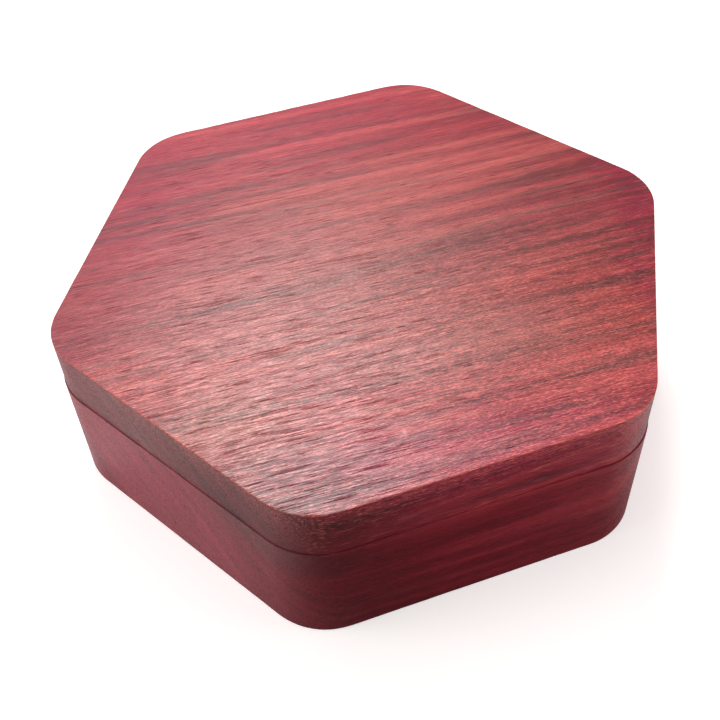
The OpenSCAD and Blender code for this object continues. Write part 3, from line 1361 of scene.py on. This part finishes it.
# %% [markdown]
# From light to dark bands the colour runs over three tones. Then come the redder zones,
# the end grain, the patches, and the fine marks: stripes at the right, streaks, lines and
# pores. The fine ones fade on end grain, where the fibres are seen from their ends. Smoke
# multiplies the colour below it, so a dark band over crimson stays crimson.

# %% Colour of the heartwood
STRIPED_CENTRE = (40, -10, 30)
STRIPED_REACH = (44, 34, 40)
# The share for the fibres' pale marks sets the painted glints, the arris share sets the painted
# highlight and shade on the edges, and the end-grain share lays a tone that is partly painted
# reflection.
SHARES = {
    "red": 0.5, "end": 0.75, "stripes": 0.7, "streaks": 0.6, "lines": 0.3, "pale lines": 0.35,
    "pores": 0.85, "smoke": 0.6, "painted glints": 0.6, "arris": 0.85,
}
END_GRAIN_FADE = 0.8


def heartwood(tree, place, figure, facing, tones, patches, strength):
    """The colour without the fibres, their painted glints and the painted edges. strength is that
    of the fine marks.
    """
    ramp = node(tree, "ShaderNodeValToRGB", {"Fac": between(tree, figure["Bands"], 0.35, 0.65)})
    stops = ramp.color_ramp.elements
    stops[0].color = tones["deep"]
    stops[1].color = tones["light"]
    stops.new(0.5).color = tones["middle"]
    dark_bands = maths(tree, "MAXIMUM", figure["Dark lines"], between(
        tree, figure["Bands"], 0.5, 0.36,
    ))
    striped = patch(tree, place, STRIPED_CENTRE, STRIPED_REACH)
    stripes = maths(tree, "MULTIPLY", dark_bands, striped)
    side_grain = maths(tree, "MULTIPLY_ADD", facing["End grain"], -END_GRAIN_FADE, 1.0)
    lines, pale_lines, pores = [
        maths(tree, "MULTIPLY", figure[label], side_grain)
        for label in ("Lines", "Pale lines", "Pores")
    ]
    colour = layered(
        tree, ramp.outputs["Color"],
        (between(tree, figure["Broad"], 0.35, 0.65), SHARES["red"], tones["red"]),
        # End grain gets a browner, greyer tone: partly its own colour, partly a painted reflection
        # of the white table.
        (facing["End grain"], SHARES["end"], tones["end"]),
        *[
            (patch(tree, place, centre, reach), share, tones[over])
            for centre, reach, share, over in patches
        ],
        (stripes, SHARES["stripes"] * strength, tones["umber"]),
        (figure["Streaks"], SHARES["streaks"] * strength, tones["dark"]),
        (lines, SHARES["lines"] * strength, tones["dark"]),
        (pale_lines, SHARES["pale lines"] * strength, tones["pale"]),
        (pores, SHARES["pores"], tones["dark"]),
    )
    smoked = maths(tree, "MULTIPLY", figure["Smoke"], SHARES["smoke"] * strength)
    return blend_colours(tree, smoked, colour, tones["smoke"], mode="MULTIPLY")


print("shares:", SHARES)

# %% [markdown]
# Along the top's near side, where the back softbox's sheen falls, the fibres get painted
# glints: they are painted paler than the wood around them, and the contrast between one
# fibre and the next is painted stronger.
# Elsewhere the same contrast is weak, and it is what makes a bare board look like wood
# when it is seen from close by.

# %% Fibres and painted glints
# The glint patch: where painted highlights of the sheen lie on the top's near side.
GLINT_CENTRE = (-14, -38, 32)
GLINT_REACH = (110, 68, 9)
CONTRAST = {"Bands": (0.12, 0.1), "Fibres": (0.17, 0.32), "Flecks": (0.1, 0.36)}


def fibres_and_glints(tree, colour, place, figure, tones, mottled):
    """Adds the fibres' contrast and their painted glints. CONTRAST holds each noise's strength on
    smooth wood and in the glint patch.
    """
    glinting = patch(tree, place, GLINT_CENTRE, GLINT_REACH)
    glint_mask = between(tree, maths(tree, "ADD", figure["Fibres"], figure["Flecks"]), 0.95, 1.4)
    # Painted glints: paler fibres where the sheen falls.
    colour = layered(tree, colour, (
        maths(tree, "MULTIPLY", glinting, glint_mask), SHARES["painted glints"], tones["pale"],
    ))
    grey = maths(tree, "MULTIPLY_ADD", figure["Mottle"], mottled, 1.0)
    # In the glint patch each noise's contrast is stronger, as painted sparkle of the sheen.
    for label, (smooth_wood, glinting_wood) in CONTRAST.items():
        grey = maths(
            tree, "MULTIPLY_ADD", between(tree, figure[label], 0.3, 0.7, -1.0, 1.0),
            between(tree, glinting, 0.0, 1.0, smooth_wood, glinting_wood), grey,
        )
    return blend_colours(tree, 1.0, colour, as_grey(tree, grey), mode="MULTIPLY")


print("contrast on smooth and on raised wood:", CONTRAST)

# %% [markdown]
# The arris round the top gets a painted highlight: an orange red line, as a rim light
# would lay along the edge. At the parting line the arris gets painted shade, a dark line
# for the shadow in the joint, and it doesn't show on end grain. Its mask is broken up by
# the fibres.

# %% Painted highlight and shade on the arris
ARRIS_HIGHLIGHT_FROM = 30 * MM
ARRIS_FADE = 1 * MM


def edged(tree, colour, place, figure, facing, tones):
    """Lays painted shade along the parting line and a painted highlight along the top's edge."""
    height = node(tree, "ShaderNodeSeparateXYZ", {"Vector": place}).outputs["Z"]
    highlit = between(tree, height, ARRIS_HIGHLIGHT_FROM - ARRIS_FADE, ARRIS_HIGHLIGHT_FROM)
    # Below the top the edge's tone is painted shade; on the top it is a painted highlight.
    edge = blend_colours(tree, highlit, tones["dark"], tones["arris"])
    broken = maths(tree, "MULTIPLY", facing["Arris"], between(tree, figure["Fibres"], 0.36, 0.56))
    parting_shade = maths(tree, "SUBTRACT", highlit, 1.0)
    seen = maths(tree, "MULTIPLY_ADD", facing["End grain"], parting_shade, 1.0)
    return layered(tree, colour, (
        maths(tree, "MULTIPLY", broken, seen), SHARES["arris"], edge,
    ))


print("fresh arris from, in mm:", round(ARRIS_HIGHLIGHT_FROM / MM, 1))

# %% [markdown]
# Now the finished wood. It is oiled and not varnished, so it is glossiest on its dense
# fibres and dull in its torn marks. A very fine bump lets the fibres catch the light. Both
# blocks use the same groups, but each reads another part of the texture.

# %% Purpleheart
TILT = 40
BEND = 0.5 * MM
BEND_LENGTH = 45 * MM
GRAIN_DEPTH = 0.02 * MM
SMOOTH_GLOSS = (0.42, 0.3)
TORN_DULLNESS = 0.3


def purpleheart(name, turn, start, tones, patches, strength, mottled):
    """Wood with a turn in degrees and a start in millimetres in its own board."""
    material, tree, shader = new_material(name, IOR=1.5)
    given = node(tree, "ShaderNodeTexCoord").outputs
    place = given["Object"]
    board = use_group(tree, BOARD_SPACE, {
        "Vector": place, "Turn": math.radians(turn), "Start": in_metres(start),
        "Bend": BEND, "Bend length": BEND_LENGTH,
    })["Board"]
    figure = use_group(tree, FIGURE, {"Board": board, "Tilt": math.radians(TILT)})
    facing = use_group(tree, FACING, {"Normal": given["Normal"]})
    colour = heartwood(tree, place, figure, facing, tones, patches, strength)
    colour = fibres_and_glints(tree, colour, place, figure, tones, mottled)
    colour = edged(tree, colour, place, figure, facing, tones)
    gloss = between(tree, figure["Fibres"], 0.3, 0.7, *SMOOTH_GLOSS)
    torn = maths(tree, "MAXIMUM", figure["Lines"], maths(
        tree, "MAXIMUM", figure["Pores"], figure["Streaks"],
    ))
    rough = maths(tree, "MULTIPLY_ADD", torn, TORN_DULLNESS, gloss)
    dress(tree, shader, colour, figure["Height"], GRAIN_DEPTH, roughness=rough)
    return material


lid_wood = purpleheart("purpleheart_lid", 2.5, (0, 0, 0), LID_TONES, LID_PATCHES, 1.0, 0.04)
base_wood = purpleheart(
    "purpleheart_base", -1.5, (300, 80, 40), BASE_TONES, BASE_PATCHES, 0.45, 0.08
)
paint([lid_block], lid_wood)
paint([base_block], base_wood)
print("woods:", lid_wood.name, base_wood.name)

# %% [markdown]
# Wool felt is a mat of short tangled fibres. Two things tell it from paint: a soft bright
# edge, where fibres stand against the light, and a mottled surface. Sheen gives the first.
# Three stretched noises that lie crosswise make the tangle.

# %% Felt
STRAND_ANGLES = (0.3, 1.35, 2.4)
STRAND_SEED = 20.0
CLUMP_SIZE = 3 * MM
CLUMP_SEED = 9.0


def tangle_group():
    tree, given, result = shader_group("fibre tangle", {
        "Vector": ("vector", None),
        "Length": ("value", 0.0022),
        "Width": ("value", 0.00022),
    }, {"Strands": "value", "Clumps": "value"})
    strands = None
    for index, angle in enumerate(STRAND_ANGLES):
        value = stretched(
            tree, rotated(tree, given["Vector"], angle), given["Length"], given["Width"],
            1.0, STRAND_SEED + index,
        )
        strands = value if strands is None else maths(tree, "MAXIMUM", strands, value)
    clumps = stretched(tree, given["Vector"], CLUMP_SIZE, CLUMP_SIZE, 3.0, CLUMP_SEED)
    tree.links.new(between(tree, strands, 0.45, 0.8), result["Strands"])
    tree.links.new(clumps, result["Clumps"])
    return tree


TANGLE = tangle_group()


def felt(name, dark, light, fibre, nap):
    """Felt between two tones, with paler loose fibres. nap is the depth of its bump."""
    material, tree, shader = new_material(
        name, Roughness=0.95, Specular_IOR_Level=0.15, Sheen_Weight=0.5, Sheen_Roughness=0.4
    )
    shader.inputs["Sheen Tint"].default_value = fibre
    place = node(tree, "ShaderNodeTexCoord").outputs["Object"]
    tangle = use_group(tree, TANGLE, {"Vector": place})
    colour = blend_colours(tree, between(tree, tangle["Clumps"], 0.3, 0.7), dark, light)
    colour = layered(tree, colour, (tangle["Strands"], 0.5, fibre))
    height = maths(tree, "MULTIPLY_ADD", tangle["Clumps"], 1.5, tangle["Strands"])
    dress(tree, shader, colour, height, nap)
    return material


pocket_felt = felt(
    "felt_charcoal", tone(34, 32, 35), tone(52, 49, 53), tone(96, 92, 98), 0.1 * MM
)
lining_felt = felt(
    "lining_charcoal", tone(36, 34, 37), tone(50, 48, 51), tone(90, 87, 92), 0.08 * MM
)
paint(felt_pads, pocket_felt)
paint([lid_pad], lining_felt)
print("felts:", pocket_felt.name, lining_felt.name)

# %% [markdown]
# Brass hardware this small is brushed once and then left to dull in the air. It could be
# one clean yellow, but then it would look like plastic, so fine scratches, dull clouds and
# dark specks break it up. Plated magnets wear the same way, so wear is a group.

# %% Metal wear
SPECK_SIZE = 0.3 * MM


def wear_group():
    tree, given, result = shader_group("metal wear", {
        "Vector": ("vector", None),
        "Brush length": ("value", 0.004),
        "Brush width": ("value", 0.00006),
        "Patch size": ("value", 0.0025),
    }, {"Brushed": "value", "Dull": "value", "Specks": "value"})
    place = given["Vector"]
    brushed = stretched(tree, place, given["Brush length"], given["Brush width"], 1.0, 31.0)
    dull = stretched(tree, place, given["Patch size"], given["Patch size"], 4.0, 32.0)
    specks = stretched(tree, place, SPECK_SIZE, SPECK_SIZE, 1.0, 33.0)
    tree.links.new(brushed, result["Brushed"])
    tree.links.new(between(tree, dull, 0.42, 0.66), result["Dull"])
    tree.links.new(between(tree, specks, 0.66, 0.72), result["Specks"])
    return tree


WEAR = wear_group()
print("group:", WEAR.name)

# %% [markdown]
# The hinges, their screws and the magnets' plating share one kind of metal and differ in
# their tones and gloss. The screws are of a redder brass than the leaves.

# %% Brass and nickel
BRUSH_DEPTH = 0.004 * MM
SPECK_SHARE = 0.5
METALS = {
    "brass_brushed": ((222, 178, 96), (176, 132, 64), (84, 60, 34), 0.22, 0.5),
    "nickel_plate": ((206, 204, 198), (170, 168, 164), (90, 88, 86), 0.16, 0.36),
    "brass_screws": ((196, 146, 74), (150, 106, 54), (70, 50, 30), 0.2, 0.42),
}


def worn_metal(name, bright, dull, speck, smooth_to, rough_to):
    """A brushed metal between a bright and a dull tone, with dark specks."""
    material, tree, shader = new_material(name, Metallic=1.0)
    wear = use_group(tree, WEAR, {"Vector": node(tree, "ShaderNodeTexCoord").outputs["Object"]})
    colour = layered(
        tree, blend_colours(tree, wear["Dull"], tone(*bright), tone(*dull)),
        (wear["Specks"], SPECK_SHARE, tone(*speck)),
    )
    brushed = between(tree, wear["Brushed"], 0.3, 0.7, smooth_to, (smooth_to + rough_to) / 2)
    rough = maths(tree, "MULTIPLY_ADD", wear["Dull"], (rough_to - smooth_to) / 2, brushed)
    dress(tree, shader, colour, wear["Brushed"], BRUSH_DEPTH, 0.6, rough)
    return material


brass, nickel, screw_brass = [worn_metal(name, *values) for name, values in METALS.items()]
paint(hinge_leaves + pins, brass)
paint(all_screws, screw_brass)
paint(magnets, nickel)
print("metals:", brass.name, screw_brass.name, nickel.name)

# %% [markdown]
# The box stands on a white table under soft light. To the camera the table is white all
# over, but near the box's front it throws less light back than white paper would, as if
# dark card lay there. That is an old studio trick to keep the near sides deep in colour.
# A touch of glow keeps the paper white, and its faint pink stands for light off the wood.

# %% Floor
FLOOR_SIZE = 6.0
FLOOR_SEEN = (0.93, 0.87, 0.86, 1.0)
FLOOR_GLOW = 0.465
CARD_THROWN = 0.12
PAPER_THROWN = 0.7
CARD_CENTRE = (-4, -80, 0)
CARD_REACH = (84, 70, 50)


def make_floor():
    def build(work):
        half = FLOOR_SIZE / 2
        corners = [(-half, -half), (half, -half), (half, half), (-half, half)]
        work.faces.new([work.verts.new((x, y, 0)) for x, y in corners])
    floor = mesh_object("floor", build)
    material, tree, shader = new_material("table_white", Roughness=1.0, Specular_IOR_Level=0.0)
    rays = node(tree, "ShaderNodeLightPath").outputs
    card = patch(tree, node(tree, "ShaderNodeTexCoord").outputs["Object"], CARD_CENTRE, CARD_REACH)
    thrown = between(tree, card, 0.0, 1.0, PAPER_THROWN, CARD_THROWN)
    colour = blend_colours(tree, rays["Is Camera Ray"], as_grey(tree, thrown), FLOOR_SEEN)
    tree.links.new(colour, shader.inputs["Base Color"])
    shader.inputs["Emission Color"].default_value = (1, 1, 1, 1)
    glow = maths(tree, "MULTIPLY", rays["Is Camera Ray"], FLOOR_GLOW)
    tree.links.new(glow, shader.inputs["Emission Strength"])
    paint([floor], material)
    return floor


floor = make_floor()
print("floor:", floor.name)

# %% [markdown]
# The main light is a softbox behind the box. Seen from the camera it lies where the top
# would mirror it, so it lays a pale sheen on the top's near left. A broad one at the left
# lights the left sides, one above softens the shadows, and a small one lifts the right
# end. The world gives a weak fill, brighter at the left.

# %% Lights
AIM = Vector((0, 0, 0.02))
WARM_WHITE = (1.0, 0.98, 0.95)
LEFT_FILL = 0.52
RIGHT_FILL = 0.2


def softbox(name, azimuth, elevation, distance, size, brightness):
    """An area light aimed at the box. Azimuth 0 is behind it and 90 is at its right."""
    azimuth, elevation = math.radians(azimuth), math.radians(elevation)
    away = Vector((
        math.sin(azimuth) * math.cos(elevation),
        math.cos(azimuth) * math.cos(elevation),
        math.sin(elevation),
    ))
    data = bpy.data.lights.new(name, "AREA")
    data.shape = "RECTANGLE"
    data.size, data.size_y = size
    data.energy = brightness * math.pi * size[0] * size[1]
    data.color = WARM_WHITE
    lamp = in_scene(name, data)
    lamp.location = AIM + away * distance
    lamp.rotation_euler = away.to_track_quat("Z", "Y").to_euler()
    return lamp


def make_world():
    world = bpy.data.worlds.new("white studio")
    world.use_nodes = True
    tree = world.node_tree
    rays = node(tree, "ShaderNodeLightPath").outputs
    parts = node(tree, "ShaderNodeSeparateXYZ", {
        "Vector": node(tree, "ShaderNodeTexCoord").outputs["Generated"],
    }).outputs
    fill = between(tree, parts["X"], -1.0, 1.0, LEFT_FILL, RIGHT_FILL)
    strength = maths(tree, "MAXIMUM", rays["Is Camera Ray"], fill)
    tree.nodes["Background"].inputs["Color"].default_value = (1, 1, 1, 1)
    tree.links.new(strength, tree.nodes["Background"].inputs["Strength"])
    bpy.context.scene.world = world


make_world()
bpy.context.scene.view_settings.view_transform = "Standard"
lamps = [
    softbox("softbox_back", 9, 54, 0.8, (0.22, 0.2), 23.0),
    softbox("softbox_left", -82, 22, 0.8, (0.5, 0.4), 4.2),
    softbox("softbox_above", -40, 70, 1.0, (0.7, 0.7), 1.4),
    softbox("softbox_right", 122, 14, 0.22, (0.12, 0.08), 4.2),
]
print("lights:", [lamp.name for lamp in lamps])
